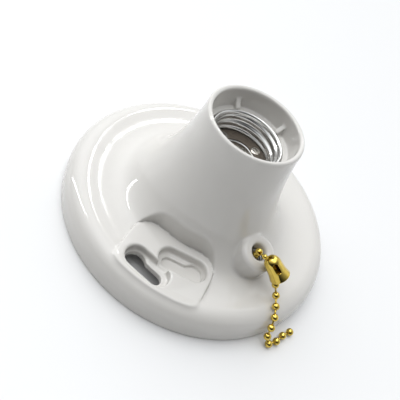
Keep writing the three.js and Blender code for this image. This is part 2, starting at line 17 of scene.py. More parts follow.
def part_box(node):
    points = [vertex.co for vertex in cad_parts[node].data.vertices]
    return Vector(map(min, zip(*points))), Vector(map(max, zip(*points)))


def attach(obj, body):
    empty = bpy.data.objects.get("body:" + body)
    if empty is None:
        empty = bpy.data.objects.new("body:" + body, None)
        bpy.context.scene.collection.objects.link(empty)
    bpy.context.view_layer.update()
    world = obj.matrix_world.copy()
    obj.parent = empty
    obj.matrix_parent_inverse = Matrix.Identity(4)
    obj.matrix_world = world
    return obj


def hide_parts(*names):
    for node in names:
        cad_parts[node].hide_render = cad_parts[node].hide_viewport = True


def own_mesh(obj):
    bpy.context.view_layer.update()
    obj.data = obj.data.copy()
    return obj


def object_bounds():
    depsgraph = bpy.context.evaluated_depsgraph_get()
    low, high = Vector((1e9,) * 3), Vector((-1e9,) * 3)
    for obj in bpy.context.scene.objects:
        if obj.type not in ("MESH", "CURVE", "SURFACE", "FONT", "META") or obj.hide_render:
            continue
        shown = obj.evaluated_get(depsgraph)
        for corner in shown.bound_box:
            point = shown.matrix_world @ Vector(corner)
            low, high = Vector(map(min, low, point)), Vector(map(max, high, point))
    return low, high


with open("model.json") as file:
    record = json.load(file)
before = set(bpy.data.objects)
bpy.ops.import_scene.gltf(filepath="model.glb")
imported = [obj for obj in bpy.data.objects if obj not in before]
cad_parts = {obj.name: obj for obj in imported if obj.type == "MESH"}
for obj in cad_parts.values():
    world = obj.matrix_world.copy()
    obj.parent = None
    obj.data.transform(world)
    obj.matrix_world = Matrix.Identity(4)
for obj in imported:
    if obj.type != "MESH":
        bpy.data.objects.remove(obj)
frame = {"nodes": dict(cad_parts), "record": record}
CAD_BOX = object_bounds()
MM = 0.001


# ---------- camera ----------
def make_camera():
    """A 50 mm lens on a 36 mm sensor, from above and to the left of the near screw pad."""
    data = bpy.data.cameras.new("camera")
    data.sensor_width = 36.0
    data.lens = 50.2
    data.clip_start = 0.01
    data.clip_end = 10.0
    right = Vector((0.836467, 0.382388, 0.392559))
    up = Vector((-0.547880, 0.599553, 0.583407))
    place = Vector((-4.68, -164.02, 173.93)) * MM
    back = right.cross(up).normalized()
    camera = bpy.data.objects.new("camera", data)
    turn = Matrix((right, up, back)).transposed().to_4x4()
    camera.matrix_world = Matrix.Translation(place) @ turn
    bpy.context.scene.collection.objects.link(camera)
    bpy.context.scene.camera = camera


make_camera()


# ---------- materials ----------
class Finish:
    """A material built round one Principled shader, with its pattern in object coordinates."""

    def __init__(self, name, colour, metallic, roughness):
        self.material = bpy.data.materials.new(name)
        self.material.use_nodes = True
        self.tree = self.material.node_tree
        self.shader = self.tree.nodes["Principled BSDF"]
        self.shader.inputs["Metallic"].default_value = metallic
        self.colour = colour
        self.roughness = roughness
        self.place = self.tree.nodes.new("ShaderNodeTexCoord").outputs["Object"]

    def noise(self, scale, detail, stretch=(1, 1, 1)):
        """A noise pattern with this many features to the metre, stretched along an axis."""
        mapping = self.tree.nodes.new("ShaderNodeMapping")
        mapping.inputs["Scale"].default_value = stretch
        self.tree.links.new(self.place, mapping.inputs["Vector"])
        texture = self.tree.nodes.new("ShaderNodeTexNoise")
        texture.inputs["Scale"].default_value = scale
        texture.inputs["Detail"].default_value = detail
        self.tree.links.new(mapping.outputs["Vector"], texture.inputs["Vector"])
        return texture.outputs["Fac"]

    def cells(self, scale):
        """Flat crystal-like patches, this many to the metre."""
        texture = self.tree.nodes.new("ShaderNodeTexVoronoi")
        texture.inputs["Scale"].default_value = scale
        self.tree.links.new(self.place, texture.inputs["Vector"])
        return texture.outputs["Color"]

    def ramp(self, value, low, high):
        """Spreads a pattern's middle values between two greys or two colours."""
        node = self.tree.nodes.new("ShaderNodeValToRGB")
        for element, position, colour in zip(node.color_ramp.elements, (0.35, 0.65), (low, high)):
            element.position = position
            element.color = (*colour, 1) if isinstance(colour, tuple) else (colour,) * 3 + (1,)
        self.tree.links.new(value, node.inputs["Fac"])
        return node.outputs["Color"]

    def paint(self, pattern, spread):
        """Varies the base colour by this share either way."""
        low = tuple(c * (1 - spread) for c in self.colour)
        high = tuple(min(1.0, c * (1 + spread)) for c in self.colour)
        self.tree.links.new(self.ramp(pattern, low, high), self.shader.inputs["Base Color"])

    def polish(self, pattern, spread):
        """Varies the roughness in the same way."""
        low, high = self.roughness * (1 - spread), self.roughness * (1 + spread)
        self.tree.links.new(self.ramp(pattern, low, high), self.shader.inputs["Roughness"])

    def relief(self, pattern, height_mm, strength):
        """Raises the surface by a pattern."""
        bump = self.tree.nodes.new("ShaderNodeBump")
        bump.inputs["Distance"].default_value = height_mm * MM
        bump.inputs["Strength"].default_value = strength
        self.tree.links.new(pattern, bump.inputs["Height"])
        self.tree.links.new(bump.outputs["Normal"], self.shader.inputs["Normal"])


def new_material(name, colour, metallic, roughness, paint, polish, relief):
    """A material. Each of the last three is a pattern and its amounts.

    A pattern is noise (features to the metre, detail and any stretch), or cells if it is one number.
    """
    f = Finish(name, colour, metallic, roughness)
    for vary, (pattern, *amounts) in ((f.paint, paint), (f.polish, polish), (f.relief, relief)):
        vary(f.noise(*pattern) if len(pattern) > 1 else f.cells(*pattern), *amounts)
    return f.material


MATERIALS = {
    "moulding": new_material(
        "moulded_white", (0.65, 0.633, 0.603), 0.0, 0.075,
        [(60, 5), 0.012], [(180, 6), 0.35], [(220, 3), 0.01, 0.15],
    ),
    "aluminium": new_material(
        "rolled_aluminium", (0.80, 0.80, 0.79), 1.0, 0.20,
        [(300, 4), 0.06], [(120, 6, (1, 1, 18)), 0.4], [(140, 5, (1, 1, 20)), 0.02, 0.4],
    ),
    "fibre": new_material(
        "vulcanised_fibre", (0.105, 0.085, 0.065), 0.0, 0.62,
        [(650, 9, (1, 5, 1)), 0.32], [(400, 5), 0.15], [(900, 8, (1, 4, 1)), 0.04, 0.6],
    ),
    "brass": new_material(
        "bright_brass", (0.66, 0.49, 0.105), 1.0, 0.10,
        [(500, 5), 0.10], [(900, 5), 0.4], [(1500, 3), 0.01, 0.3],
    ),
    "nickel": new_material(
        "dull_nickel", (0.66, 0.63, 0.58), 1.0, 0.30,
        [(350, 5), 0.08], [(700, 5), 0.35], [(1200, 4), 0.012, 0.4],
    ),
    "steel": new_material(
        "zinc_plate", (0.60, 0.61, 0.62), 1.0, 0.34,
        [(700,), 0.10], [(500, 5), 0.35], [(900, 5), 0.015, 0.4],
    ),
    "phenolic": new_material(
        "phenolic", (0.045, 0.030, 0.022), 0.0, 0.36,
        [(800, 8), 0.45], [(500, 5), 0.3], [(1100, 4), 0.02, 0.4],
    ),
    "sleeving": new_material(
        "lead_sleeve", (0.020, 0.020, 0.022), 0.0, 0.42,
        [(600, 5), 0.3], [(800, 5), 0.25], [(1500, 4), 0.02, 0.5],
    ),
}
MATERIALS["moulding"].node_tree.nodes["Principled BSDF"].inputs["IOR"].default_value = 1.52


# ---------- meshes ----------
def new_piece(name, points, faces, slot, body, replaced=(), normals=None):
    """A smooth-shaded piece from points in millimetres, riding on a body."""
    mesh = bpy.data.meshes.new(name)
    mesh.from_pydata((np.asarray(points, float) * MM).tolist(), [], faces)
    mesh.materials.append(MATERIALS[slot])
    mesh.shade_smooth()
    if normals is not None:
        mesh.normals_split_custom_set_from_vertices(normals)
    piece = bpy.data.objects.new(name, mesh)
    bpy.context.scene.collection.objects.link(piece)
    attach(piece, body)
    if replaced:
        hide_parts(*replaced)
    return piece


def joined(parts):
    """Several (points, faces) lists as one."""
    points, faces = [], []
    for part_points, part_faces in parts:
        start = len(points)
        points.extend(part_points)
        faces.extend([tuple(i + start for i in face) for face in part_faces])
    return points, faces


def turned(profile, steps):
    """A profile of (radius, height) turned about Z. An end on the axis closes to one point."""
    points, rings = [], []
    for r, z in profile:
        if r < 1e-6:
            rings.append([len(points)] * steps)
            points.append((0.0, 0.0, z))
            continue
        rings.append(range(len(points), len(points) + steps))
        turn = [2 * math.pi * i / steps for i in range(steps)]
        points.extend((r * math.cos(a), r * math.sin(a), z) for a in turn)
    faces = []
    for low, high in zip(rings, rings[1:]):
        for i in range(steps):
            j = (i + 1) % steps
            corners = dict.fromkeys((low[i], low[j], high[j], high[i]))
            if len(corners) > 2:
                faces.append(tuple(corners))
    return points, faces


def placed(part, at, along=(0, 0, 1)):
    """A part moved so that its origin is at a point and its Z runs along a direction."""
    turn = Vector((0, 0, 1)).rotation_difference(Vector(along))
    return [tuple(turn @ Vector(p) + Vector(at)) for p in part[0]], part[1]


def arc(centre, radius, start, end, steps):
    """Points on an arc, angles in degrees."""
    angles = np.radians(np.linspace(start, end, steps + 1))
    return [(centre[0] + radius * math.cos(a), centre[1] + radius * math.sin(a)) for a in angles]


# ---------- pull chain ----------
BEAD_R = 1.5
BEAD_PITCH = 4.15
LINK_R = 0.42
FIRST_GAP = 0.3  # the first bead stands at least this far down the route
END_GAP = 0.02  # the last bead's centre stands this far before its end
CHAIN_ROUTE = [
    (37.9, -22.2, 20.4), (38.6, -22.7, 18.7), (39.1, -23.8, 16.9), (40.1, -25.0, 15.5),
    (41.4, -26.3, 14.6), (43.2, -29.5, 13.4), (44.9, -32.9, 11.9), (46.1, -35.8, 9.0),
    (47.0, -37.3, 5.4), (48.0, -37.9, 2.9), (49.4, -37.9, 1.7), (51.0, -37.0, 1.5),
    (52.0, -35.3, 1.5), (52.7, -33.0, 1.5), (54.1, -30.2, 1.5), (55.95, -27.4, 1.5),
]


def smooth_route(points, per_span=8):
    """A Catmull-Rom curve through the points."""
    p = np.array([points[0], *points, points[-1]], float)
    t = np.linspace(0, 1, per_span, endpoint=False)[:, None]
    spans = [
        0.5 * (2 * b + (c - a) * t + (2 * a - 5 * b + 4 * c - d) * t**2 + (3 * b - a - 3 * c + d) * t**3)
        for a, b, c, d in zip(p, p[1:], p[2:], p[3:])
    ]
    return np.vstack([*spans, p[-1:]])


def along_route(route, distances):
    """Points and directions at these distances along a route."""
    gaps = np.linalg.norm(np.diff(route, axis=0), axis=1)
    run = np.concatenate([[0], np.cumsum(gaps)])
    reach = 0.3

    def at(distance):
        return np.array([np.interp(distance, run, route[:, k]) for k in range(3)])

    return [(at(d), at(d + reach) - at(d - reach)) for d in distances]


def bead(radius=BEAD_R):
    """A hollow bead rolled from sheet: round, with its two ends turned in round the link."""
    hole = LINK_R * 1.35
    end = math.degrees(math.asin(hole / radius))
    outside = arc((0, 0), radius, -90 + end, 90 - end, 18)
    tucked = radius * math.cos(math.radians(end)) - 0.25
    return turned([(0, -tucked), (hole * 0.9, -tucked), *outside, (hole * 0.9, tucked), (0, tucked)], 32)


def rod(start, end, radius=LINK_R):
    """A link between two beads, slightly waisted."""
    start, end = Vector(start), Vector(end)
    length = (end - start).length
    profile = [(0, 0), (radius, 0), (radius * 0.88, length / 2), (radius, length), (0, length)]
    return placed(turned(profile, 12), start, end - start)


def bead_chain(places):
    """Beads at these (point, direction) places, and a link between each two."""
    beads = [placed(bead(), p, d) for p, d in places]
    links = [rod(a[0], b[0]) for a, b in zip(places, places[1:])]
    return joined(beads + links)


def hanging_chain():
    """The free length below the bell, as a cord."""
    route = smooth_route(CHAIN_ROUTE)
    length = float(np.linalg.norm(np.diff(route, axis=0), axis=1).sum())
    distances = np.arange(length - END_GAP, FIRST_GAP, -BEAD_PITCH)[::-1]
    points, faces = bead_chain(along_route(route, distances))
    chain = new_piece("hanging_bead_chain", points, faces, "brass", "pull", ["hanging_chain"])


hanging_chain()

# the chain inside the outlet and over its lip
CHAIN_AZ = math.radians(-34.5)
CHAIN_R = 33.0
KNUCKLE_R = 1.0
CATCH_R = 1.25
OUTLET_X = CHAIN_R * math.cos(CHAIN_AZ)
OUTLET_Y = CHAIN_R * math.sin(CHAIN_AZ)
LIP_BEAD = (27.1, -20.1, 22.4)
KNUCKLE = (29.0, -24.2, 26.3)
CATCH = (32.8, -23.3, 24.9)
BELL_NARROW = (30.7, -23.4, 26.5)
BELL_MOUTH = (38.5, -22.9, 20.5)


def inner_chain():
    """From the lever's fork up the bore, over the outlet's lip and into the bell."""
    up = (0, 0, 1)
    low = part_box("inner_chain")[0].z / MM
    inside = [((OUTLET_X, OUTLET_Y, z), up) for z in (11.6, 15.0, 18.4)]
    lip = (LIP_BEAD, Vector(KNUCKLE) - Vector(LIP_BEAD))
    ferrule = [
        (0, 0), (1.7, 0), (1.9, 0.2), (1.9, 0.8), (1.7, 1.0), (LINK_R, 1.05), (LINK_R, 6), (0, 6),
    ]
    parts = [
        bead_chain([*inside, lip]),
        placed(turned(ferrule, 32), (OUTLET_X, OUTLET_Y, low)),
        rod((OUTLET_X, OUTLET_Y, low + 5), inside[0][0]),
        rod(LIP_BEAD, KNUCKLE),
        placed(bead(KNUCKLE_R), KNUCKLE, Vector(CATCH) - Vector(KNUCKLE)),
        rod(KNUCKLE, CATCH),
        placed(bead(CATCH_R), CATCH, Vector(BELL_MOUTH) - Vector(BELL_NARROW)),
    ]
    new_piece("inner_bead_chain", *joined(parts), "brass", "pull", ["inner_chain"])


SLOT_START, SLOT_END = 1.5, 6.3
SLOT_HALF = 1.05
BELL_SHEET = 0.35
BELL_FACE = (-0.08, -0.62, 0.77)  # the slot faces this way


def bell():
    """A bell-shaped coupling of thin sheet, with a round-ended slot in one side and a closed mouth."""
    axis = Vector(BELL_MOUTH) - Vector(BELL_NARROW)
    length = axis.length
    profile = [
        (0.9, 0.1), (1.5, 0.16), (2.15, 0.55), (2.7, 1.15), (3.05, 1.9), (3.24, 2.7), (3.3, 3.6),
        (3.37, 4.8), (3.48, 6.3), (3.66, 7.7), (3.9, length - 0.9), (4.08, length - 0.15),
        (4.06, length),
    ]
    fine = smooth_route([(r, 0, z) for r, z in profile], 6)
    steps = 160
    wall, faces = [], []
    for k, (r, _, z) in enumerate(fine):
        for i in range(steps):
            turn = 2 * math.pi * i / steps
            wall.append((r * math.cos(turn), r * math.sin(turn), z))
            across = abs(r * math.sin(turn))
            past_end = max(SLOT_START + SLOT_HALF - z, z - SLOT_END + SLOT_HALF, 0.0)
            in_slot = math.cos(turn) > 0 and math.hypot(across, past_end) < SLOT_HALF
            if k + 1 < len(fine) and not in_slot:
                a, b = k * steps + i, k * steps + (i + 1) % steps
                faces.append((a, b, b + steps, a + steps))
    axis.normalize()
    face = Vector(BELL_FACE)
    side = (face - face.dot(axis) * axis).normalized()
    turn = Matrix((side, axis.cross(side), axis)).transposed()
    points = [tuple(turn @ Vector(p) + Vector(BELL_NARROW)) for p in wall]
    piece = new_piece("bell_coupling", points, faces, "brass", "pull", ["bell_connector"])
    thick = piece.modifiers.new("sheet", "SOLIDIFY")
    thick.thickness = BELL_SHEET * MM
    thick.offset = -1
    plug = [(0, 7.75), (3.3, 7.7), (3.42, 7.85), (3.3, 8.0), (0.8, 8.05), (0.6, 8.3), (0, 8.35)]
    new_piece("bell_plug", *placed(turned(plug, 64), BELL_NARROW, axis), "brass", "pull")


inner_chain()
bell()


# ---------- the moulding, as a distance field in millimetres ----------
def smooth_min(a, b, k):
    """The nearer of two distances, with a fillet about k wide where they meet."""
    h = np.maximum(k - np.abs(a - b), 0) / k
    return np.minimum(a, b) - h * h * k / 4


def smooth_max(a, b, k):
    """The farther of two distances, with an edge rounded about k wide where they meet."""
    return -smooth_min(-a, -b, k)


def b_spline(points, per_span=6):
    """A smooth curve that follows the points and meets its two ends."""
    p = np.array([points[0]] * 2 + list(points) + [points[-1]] * 2, float)
    t = np.linspace(0, 1, per_span, endpoint=False)[:, None]
    weights = ((1 - t)**3, 3 * t**3 - 6 * t**2 + 4, 1 + 3 * t + 3 * t**2 - 3 * t**3, t**3)
    spans = [
        sum(weight * point for weight, point in zip(weights, four)) / 6
        for four in zip(p, p[1:], p[2:], p[3:])
    ]
    return np.vstack([*spans, p[-1:]])


class Outline:
    """Signed distance to a closed flat outline, negative inside, looked up in a table."""

    STEP = 0.25

    def __init__(self, points, low, high):
        self.low = np.array(low, float)
        counts = np.ceil((np.array(high) - self.low) / self.STEP).astype(int) + 1
        across = self.low[0] + self.STEP * np.arange(counts[0])
        start, end = points, np.roll(points, -1, axis=0)
        run = end - start
        size = np.maximum((run * run).sum(1), 1e-12)
        self.table = np.empty(counts)
        for row in range(counts[1]):
            height = self.low[1] + self.STEP * row
            dx = across[:, None] - start[:, 0]
            dy = height - start[:, 1]
            t = np.clip((dx * run[:, 0] + dy * run[:, 1]) / size, 0, 1)
            gap = np.sqrt(((dx - t * run[:, 0])**2 + (dy - t * run[:, 1])**2).min(1))
            crossing = (start[:, 1] <= height) != (end[:, 1] <= height)
            share = dy[crossing] / run[crossing, 1]
            cuts = start[crossing, 0] + share * run[crossing, 0]
            inside = (across[:, None] < cuts).sum(1) % 2 == 1
            self.table[:, row] = np.where(inside, -gap, gap)

    def __call__(self, x, y):
        limit = np.array(self.table.shape) - 1.001
        u = np.clip((x - self.low[0]) / self.STEP, 0, limit[0])
        v = np.clip((y - self.low[1]) / self.STEP, 0, limit[1])
        i, j = u.astype(int), v.astype(int)
        u, v = u - i, v - j
        low = self.table[i, j] * (1 - u) + self.table[i + 1, j] * u
        high = self.table[i, j + 1] * (1 - u) + self.table[i + 1, j + 1] * u
        return low * (1 - v) + high * v


BODY_LOW, BODY_HIGH = (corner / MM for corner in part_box("body_shell"))
BASE_R = BODY_HIGH.x
MOUTH_Z = BODY_HIGH.z
RIM_H = 5.0
SHOULDER_R = 6.8
WALL = 3.2
MOUTH_R = 17.4
COLLAR_R = 19.5
LIP_R = (COLLAR_R - MOUTH_R) / 2
LEDGE_Z = 48.2
POCKET_R = 14.7
PARTITION_TOP = 36.6
PARTITION_Z = 33.0
PAST_AXIS = -8.0  # outlines close on the far side of the axis


def outer_outline():
    """Rim, shoulder, dish, flared neck and collar lip, from the centre of the base upwards."""
    corner = 0.5
    return b_spline([
        (PAST_AXIS, 0), (30, 0), (BASE_R - 2, 0),
        *arc((BASE_R - corner, corner), corner, -90, 0, 3),
        (BASE_R, 2), (BASE_R, 3.5),
        *arc((BASE_R - SHOULDER_R, RIM_H), SHOULDER_R, 0, 90, 9),
        (49, 11.6), (47.3, 11.35), (45.5, 11.1), (43.5, 10.95), (41.5, 10.9), (39.5, 11.0),
        (37.5, 11.35), (35.5, 12.1), (33.2, 13.8), (31, 16.2), (28.5, 19.6), (26.3, 24),
        (24.4, 29), (22.9, 34), (21.6, 39.5), (20.6, 45.5), (19.9, 51), (COLLAR_R + 0.05, 54.2),
        *arc((COLLAR_R - LIP_R, MOUTH_Z - LIP_R), LIP_R, 0, 90, 5),
        (14, MOUTH_Z), (PAST_AXIS, MOUTH_Z),
    ])


def socket_outline():
    """The space that is cut from the collar: shell pocket, ledge and mouth."""
    centre = MOUTH_R + LIP_R
    return b_spline([
        (PAST_AXIS, PARTITION_TOP), (8, PARTITION_TOP), (POCKET_R - 0.2, PARTITION_TOP),
        (POCKET_R, PARTITION_TOP + 0.2), (POCKET_R, 42), (POCKET_R, LEDGE_Z - 0.2),
        (POCKET_R + 0.2, LEDGE_Z), (MOUTH_R - 0.6, LEDGE_Z), (MOUTH_R - 0.25, LEDGE_Z + 0.3),
        (MOUTH_R - 0.1, 52), (MOUTH_R, 54.5),
        *arc((centre, MOUTH_Z - LIP_R), LIP_R, 180, 95, 5),
        (centre, MOUTH_Z + 1), (centre, MOUTH_Z + 3), (PAST_AXIS, MOUTH_Z + 3),
    ])


def cavity_outline():
    """The space under the dish and the partition."""
    inner = BASE_R - WALL
    round_r = SHOULDER_R - WALL
    return b_spline([
        (PAST_AXIS, -3), (inner, -3), (inner, 1), (inner, 3),
        *arc((inner - round_r, RIM_H), round_r, 0, 90, 5),
        (48, 8.2), (45, 7.8), (40.5, 7.7), (36.6, 8.0), (34, 9.2), (31.6, 11.4), (29.2, 13.9),
        (26.6, 16.9), (24.2, 20.6), (22, 25), (19.8, 29.5), (18.4, 32.4), (17.9, PARTITION_Z),
        (16, PARTITION_Z), (PAST_AXIS, PARTITION_Z),
    ])


def pocket_outline():
    """The pocket cut into the flare above a pad: two lobes with a bulge between."""
    right = [
        (17.7, -60), (17.7, -50), (17.7, -41), (17.7, -37), (17.5, -33.6), (16.6, -30.8),
        (14.6, -28.3), (11, -26.7), (6.5, -27.4),
    ]
    left = [(-x, y) for x, y in reversed(right)]
    return b_spline([*right, (0, -28.5), *left])


TURNED_LOW, TURNED_HIGH = (0, -4), (62, 61)
OUTER = Outline(outer_outline(), TURNED_LOW, TURNED_HIGH)
SOCKET = Outline(socket_outline(), TURNED_LOW, TURNED_HIGH)
CAVITY = Outline(cavity_outline(), TURNED_LOW, TURNED_HIGH)
POCKET = Outline(pocket_outline(), (-24, -64), (24, -20))

PAD_Z = 12.0
PAD_OUTER_R = 52.6
PAD_CORNER = 4.5
POCKET_OUTER_R = 48.0
POCKET_DROP = 1.2
RECESS_Z = 8.5
WEB_Z = 5.8
RECESS_R = 4.7
HEAD_HOLE_R = 4.1
SLOT_R = 2.45
OUTER_KEYHOLE = ((-9.8, -44.3), (-0.3, -46.2))
INNER_KEYHOLE = ((10.7, -35.5), (0.7, -37.0))
KNOCKOUT_Z = 7.0

NOZZLE_U = 33.6
NOZZLE_Z = 21.8
NOZZLE_R = 7.6
NOZZLE_LIP = 1.7
NOZZLE_FOOT = 14
NOZZLE_TILT = math.radians(15)
NOZZLE_BORE = 3.0
SPRING_BORE = 4.6
SPRING_LEDGE = 18.4
TERMINAL_U = 33.0
TERMINAL_V = 5.0
TERMINAL_AZ = math.radians(20)
POST_Z = 20.7
TERMINAL_POST_Z = 6.9
FLOOR_RIVETS = ((0, 9.8), (-9.8, 0), (0, -9.8))
RIVET_HOLE = 1.5
FRAME_SCREWS = (6, 12)
FRAME_SCREW_HOLE = 1.1
TERMINAL_HOLE = 1.9
RIB_DEGREES = (57, 129, 201, 273, 345)
RIB_HALF = 1.0
RIB_FOOT_Z = 47.6


def to_segment(u, v, a, b):
    """Distance to a straight piece from a to b."""
    (ax, ay), (bx, by) = a, b
    run = (bx - ax, by - ay)
    t = np.clip(((u - ax) * run[0] + (v - ay) * run[1]) / (run[0]**2 + run[1]**2), 0, 1)
    return np.hypot(u - ax - t * run[0], v - ay - t * run[1])


def turned_frame(x, y, angle):
    """The same points in flat axes turned by an angle."""
    c, s = math.cos(angle), math.sin(angle)
    return x * c + y * s, y * c - x * s


def between(value, low, high):
    return np.abs(value - (low + high) / 2) - (high - low) / 2


def keyhole(u, v, ends):
    """The flat outlines of one keyhole: its recess, and its slot with the hole for the head."""
    line = to_segment(u, v, *ends)
    head = np.hypot(u - ends[0][0], v - ends[0][1])
    return line - RECESS_R, smooth_min(line - SLOT_R, head - HEAD_HOLE_R, 0.8)


def in_pad(x, y):
    """Axes of the nearer pad. Each is the other turned half a turn, and is drawn on the -Y side."""
    return np.where(y > 0, -x, x), -np.abs(y)


def in_terminals(x, y):
    """Axes towards the neutral terminal and towards the live one."""
    across, along = turned_frame(x, y, CHAIN_AZ)
    return (-across, along), turned_frame(x, y, TERMINAL_AZ)


def add_pads(solid, x, y, z):
    """A flat pad on each side, tight against its pocket's wall and run out over the shoulder."""
    r = np.hypot(x, y)
    outline = POCKET(*in_pad(x, y))
    pocket = smooth_max(np.maximum(outline, r - POCKET_OUTER_R), PAD_Z - POCKET_DROP - z, 0.5)
    solid = smooth_max(solid, -pocket, 0.7)
    raised = smooth_max(outline, r - PAD_OUTER_R, PAD_CORNER)
    foot = np.clip(0.6 * (r - 49), 0.3, 2.0)
    return smooth_min(solid, smooth_max(raised, z - PAD_Z, 0.7), foot)


def in_nozzle(x, y, z):
    """Distance from the chain outlet's tilted axis, and height above its top."""
    across, along = turned_frame(x, y, CHAIN_AZ)
    reach, rise = turned_frame(across - NOZZLE_U, z - NOZZLE_Z, -NOZZLE_TILT)
    return np.hypot(reach, along), rise


def add_nozzle(solid, x, y, z):
    """The chain outlet: a slightly tapered boss with a rounded lip."""
    radius, rise = in_nozzle(x, y, z)
    flank = radius - (NOZZLE_R - NOZZLE_LIP) + 0.07 * (rise + NOZZLE_LIP)
    top = rise + NOZZLE_LIP
    boss = np.hypot(np.maximum(flank, 0), np.maximum(top, 0)) + np.minimum(np.maximum(flank, top), 0)
    return smooth_min(solid, np.maximum(boss - NOZZLE_LIP, -NOZZLE_FOOT - rise), 1.3)


def cut_underside(solid, x, y, z):
    """Hollow, with the backs of the pads and the posts left standing in it."""
    u, v = in_pad(x, y)
    across, along = turned_frame(x, y, CHAIN_AZ)
    recess = smooth_min(keyhole(u, v, OUTER_KEYHOLE)[0], keyhole(u, v, INNER_KEYHOLE)[0], 1.0)
    pad_back = np.maximum(np.maximum(np.abs(u) - 20.3, v + 24.6), 8.4 - z)
    backing = smooth_min(pad_back, smooth_max(recess - 2.2, WEB_Z - z, 0.6), 0.8)
    post = np.maximum(between(across, 3, 15), np.abs(along) - 6.5)
    standing = [backing, np.maximum(post, POST_Z - z)]
    for place_u, place_v in in_terminals(x, y):
        block = np.maximum(between(place_u, TERMINAL_U - 5, TERMINAL_U + 5), np.abs(place_v) - 9.5)
        standing.append(np.maximum(block, TERMINAL_POST_Z - z))
    hollow = CAVITY(np.hypot(x, y), z)
    for part in standing:
        hollow = smooth_max(hollow, -part, 0.8)
    return smooth_max(solid, -hollow, 0.5)


def cut_keyholes(solid, x, y, z):
    """An open keyhole and one closed by a web, in a shared recess."""
    u, v = in_pad(x, y)
    outer_recess, outer_slot = keyhole(u, v, OUTER_KEYHOLE)
    inner_recess, inner_slot = keyhole(u, v, INNER_KEYHOLE)
    recess = smooth_min(outer_recess, inner_recess, 1.0)
    solid = smooth_max(solid, -smooth_max(recess, RECESS_Z - z, 1.0), 1.1)
    solid = smooth_max(solid, -outer_slot, 0.5)
    return smooth_max(solid, -smooth_max(inner_slot, KNOCKOUT_Z - z, 0.6), 0.6)


def cut_socket(solid, x, y, z):
    """The socket, with the five ribs of its collar."""
    solid = smooth_max(solid, -SOCKET(np.hypot(x, y), z), 0.4)
    for degrees in RIB_DEGREES:
        out, side = turned_frame(x, y, math.radians(degrees))
        ramp = (3.0 * (z - 52.0) - 2.8 * (out - 17.2)) / math.hypot(3.0, 2.8)
        rib = smooth_max(np.abs(side) - RIB_HALF, np.maximum(14.4 - out, ramp), 0.25)
        rib = np.maximum(rib, np.maximum(out - 18.2, RIB_FOOT_Z - z))
        solid = smooth_min(solid, rib, 0.4)
    return solid


def cut_bores(solid, x, y, z):
    """The chain and spring bores, and the holes for screws and rivets."""
    across, along = turned_frame(x, y, CHAIN_AZ)
    radius, rise = in_nozzle(x, y, z)
    bore = np.hypot(across - CHAIN_R, along)
    solid = smooth_max(solid, -np.maximum(radius - NOZZLE_BORE, -6 - rise), 2.2)
    solid = smooth_max(solid, -np.maximum(bore - NOZZLE_BORE, SPRING_LEDGE - 1 - z), 0.3)
    solid = smooth_max(solid, -np.maximum(bore - SPRING_BORE, z - SPRING_LEDGE), 0.3)
    for place in FRAME_SCREWS:
        hole = np.maximum(np.hypot(across - place, along) - FRAME_SCREW_HOLE, z - 28)
        solid = np.maximum(solid, -hole)
    for place in FLOOR_RIVETS:
        hole = np.hypot(across - place[0], along - place[1]) - RIVET_HOLE
        solid = np.maximum(solid, -np.maximum(np.maximum(hole, z - 38), 30 - z))
    for place_u, place_v in in_terminals(x, y):
        hole = np.hypot(place_u - TERMINAL_U, np.abs(place_v) - TERMINAL_V) - TERMINAL_HOLE
        solid = np.maximum(solid, -np.maximum(hole, z - 11.3))
    return solid


def moulding(x, y, z):
    """The whole white body."""
    solid = OUTER(np.hypot(x, y), z)
    for change in (add_pads, add_nozzle, cut_underside, cut_keyholes, cut_socket, cut_bores):
        solid = change(solid, x, y, z)
    return solid


def surface(field, low, high, step):
    """Quads over a field's zero level, one point in each grid cell that the surface crosses."""
    counts = [int(math.ceil((b - a) / step)) + 1 for a, b in zip(low, high)]
    axes = [a + step * np.arange(n) for a, n in zip(low, counts)]
    x, y = np.meshgrid(axes[0], axes[1], indexing="ij")
    values = np.stack([field(x, y, np.full_like(x, z)) for z in axes[2]], axis=2)
    inside = values < 0
    corners = list(itertools.product((0, 1), repeat=3))
    total = sum(
        inside[i:counts[0] - 1 + i, j:counts[1] - 1 + j, k:counts[2] - 1 + k].astype(np.int8)
        for i, j, k in corners
    )
    cells = np.argwhere((total > 0) & (total < 8))
    index = np.full(total.shape, -1)
    index[tuple(cells.T)] = np.arange(len(cells))
    places, found = np.zeros((len(cells), 3)), np.zeros(len(cells))
    unit = np.eye(3, dtype=int)
    for axis, corner in itertools.product(range(3), corners):
        if corner[axis]:
            continue
        a = cells + corner
        b = a + unit[axis]
        first, second = values[tuple(a.T)], values[tuple(b.T)]
        crosses = (first < 0) != (second < 0)
        share = np.where(crosses, first / np.where(crosses, first - second, 1), 0)
        places += np.where(crosses[:, None], a + share[:, None] * unit[axis], 0)
        found += crosses
    points = np.array(low) + step * places / found[:, None]
    quads = []
    for axis in range(3):
        ahead = np.roll(inside, -1, axis)
        change = inside != ahead
        change[tuple(slice(-1, None) if k == axis else slice(None) for k in range(3))] = False
        at = np.argwhere(change)
        u, v = unit[(axis + 1) % 3], unit[(axis + 2) % 3]
        ring = [index[tuple((at - shift).T)] for shift in (0 * u, u, u + v, v)]
        faces = np.stack(ring, axis=1)
        outward = inside[tuple(at.T)]
        quads.append(np.where(outward[:, None], faces, faces[:, ::-1]))
    return points, np.vstack(quads)


def slope(field, points, reach):
    """The field's gradient at some points, by central differences."""
    steps = reach * np.eye(3)
    ahead = [field(*(points + step).T) for step in steps]
    behind = [field(*(points - step).T) for step in steps]
    return (np.stack(ahead, 1) - np.stack(behind, 1)) / (2 * reach)


